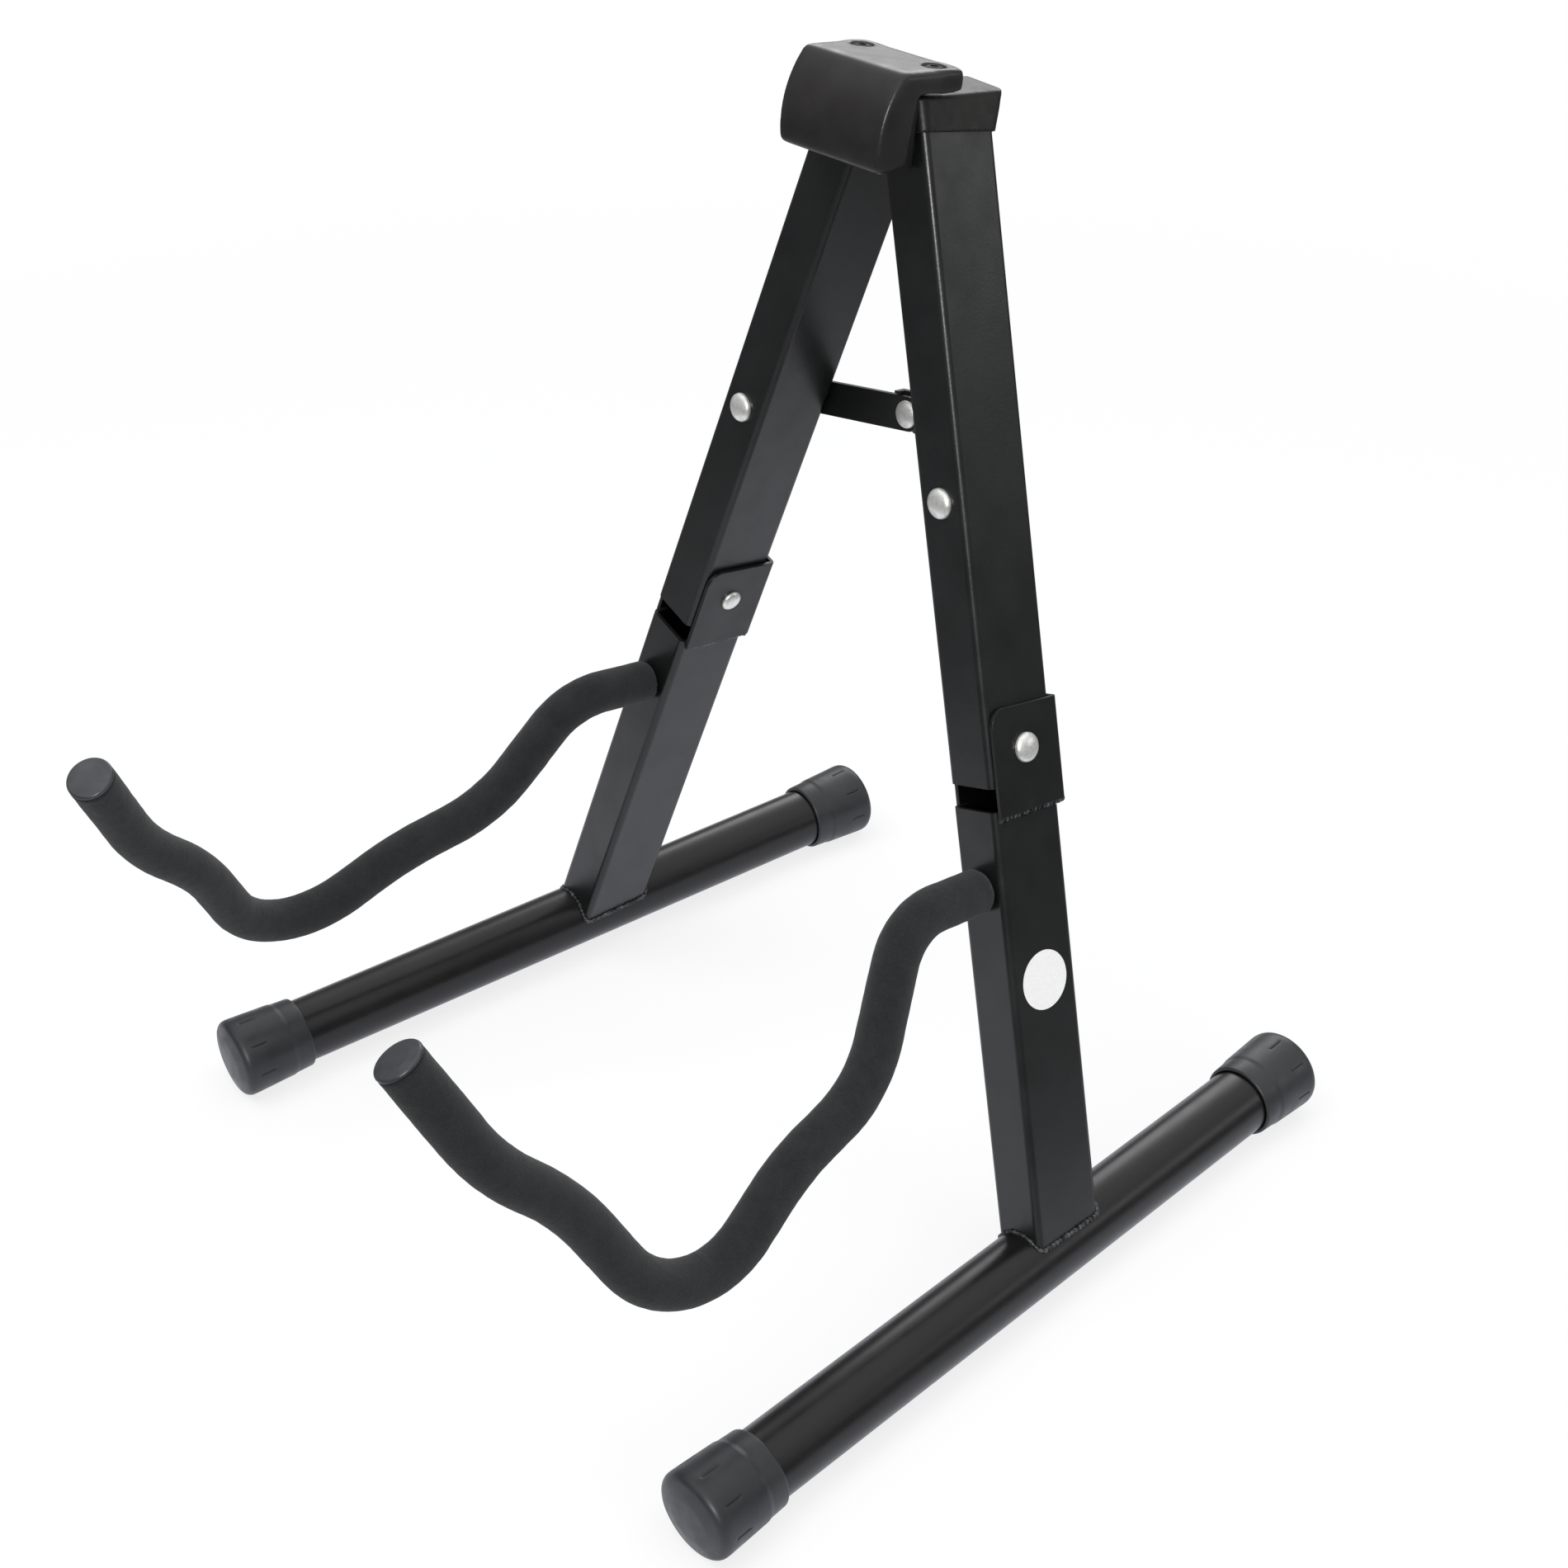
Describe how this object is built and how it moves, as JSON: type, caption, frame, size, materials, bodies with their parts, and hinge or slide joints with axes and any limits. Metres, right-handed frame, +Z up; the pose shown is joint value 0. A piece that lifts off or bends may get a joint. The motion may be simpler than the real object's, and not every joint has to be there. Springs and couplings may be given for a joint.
{
  "type": "guitar stand",
  "caption": "Folding A-frame guitar stand in black steel tube with foam-covered cradle arms, rubber feet and a padded head.",
  "frame": {"origin": "on the floor, below the centre of the stand's bounding box", "axes": "+Z up, -Y towards the arm tips, +X to the right leg seen from behind the arms' tips looking at the legs"},
  "size_m": [0.3186, 0.3612, 0.3915],
  "materials": {
    "frame": "satin black powder coat",
    "feet": "smooth black coat, a little glossier than the legs",
    "rods": "satin black",
    "rivets": "bright zinc plated",
    "screws": "black oxide",
    "pad": "smooth satin rubber",
    "foam": "matte closed-cell foam with a fine speckle",
    "tips": "smooth, slightly glossy",
    "caps": "fine grained moulding",
    "rubber": "matte rubber, blue-grey black",
    "label": "white, blank"
  },
  "bodies": {
    "head": {"head_bracket": "frame", "head_pad": "pad", "pad_screws": "screws", "pivot_rivets": "rivets", "pivot_spacers": "rivets"},
    "leg_right": {"upper_leg_right": "frame", "leg_cap_right": "caps", "brace_rivet_right": "rivets"},
    "leg_left": {"upper_leg_left": "frame", "leg_cap_left": "caps", "brace_rivet_left": "rivets"},
    "link_right": {"brace_link_right": "frame", "centre_rivet_back": "rivets"},
    "link_left": {"brace_link_left": "frame", "centre_rivet_front": "rivets"},
    "shin_right": {"lower_leg_right": "frame", "foot_tube_right": "feet", "foot_cap_front_right": "rubber", "foot_cap_back_right": "rubber", "arm_rod_right": "rods", "arm_foam_right": "foam", "arm_tip_right": "tips", "knuckle_bracket_right": "frame", "knuckle_rivet_right": "rivets", "label": "label"},
    "shin_left": {"lower_leg_left": "frame", "foot_tube_left": "feet", "foot_cap_front_left": "rubber", "foot_cap_back_left": "rubber", "arm_rod_left": "rods", "arm_foam_left": "foam", "arm_tip_left": "tips", "knuckle_bracket_left": "frame", "knuckle_rivet_left": "rivets"}
  },
  "joints": [
    {"name": "leg_spread_right", "type": "hinge", "parent": "head", "child": "leg_right", "pos_m": [0.01512, 0.09122, 0.36431], "axis": [0, 0.991, -0.134], "range_deg": [0, 17]},
    {"name": "leg_spread_left", "type": "hinge", "parent": "head", "child": "leg_left", "pos_m": [-0.01512, 0.09122, 0.36431], "axis": [0, -0.991, 0.134], "range_deg": [0, 17]},
    {"name": "brace_right", "type": "hinge", "parent": "leg_right", "child": "link_right", "pos_m": [0.04983, 0.07732, 0.2615], "axis": [0, 0.991, -0.134], "range_deg": [0, 42.28]},
    {"name": "brace_left", "type": "hinge", "parent": "leg_left", "child": "link_left", "pos_m": [-0.04983, 0.07732, 0.2615], "axis": [0, -0.991, 0.134], "range_deg": [0, 42.28]},
    {"name": "knee_right", "type": "hinge", "parent": "leg_right", "child": "shin_right", "pos_m": [0.07588, 0.06688, 0.18434], "axis": [-0.9483, -0.0425, -0.3144], "range_deg": [0, 85]},
    {"name": "knee_left", "type": "hinge", "parent": "leg_left", "child": "shin_left", "pos_m": [-0.07588, 0.06688, 0.18434], "axis": [-0.9483, 0.0425, 0.3144], "range_deg": [0, 85]}
  ],
  "couplings": [
    {"joint": "leg_spread_left", "follows": "leg_spread_right", "ratio": 1},
    {"joint": "brace_right", "follows": "leg_spread_right", "ratio": 2.4866},
    {"joint": "brace_left", "follows": "leg_spread_right", "ratio": 2.4866}
  ]
}
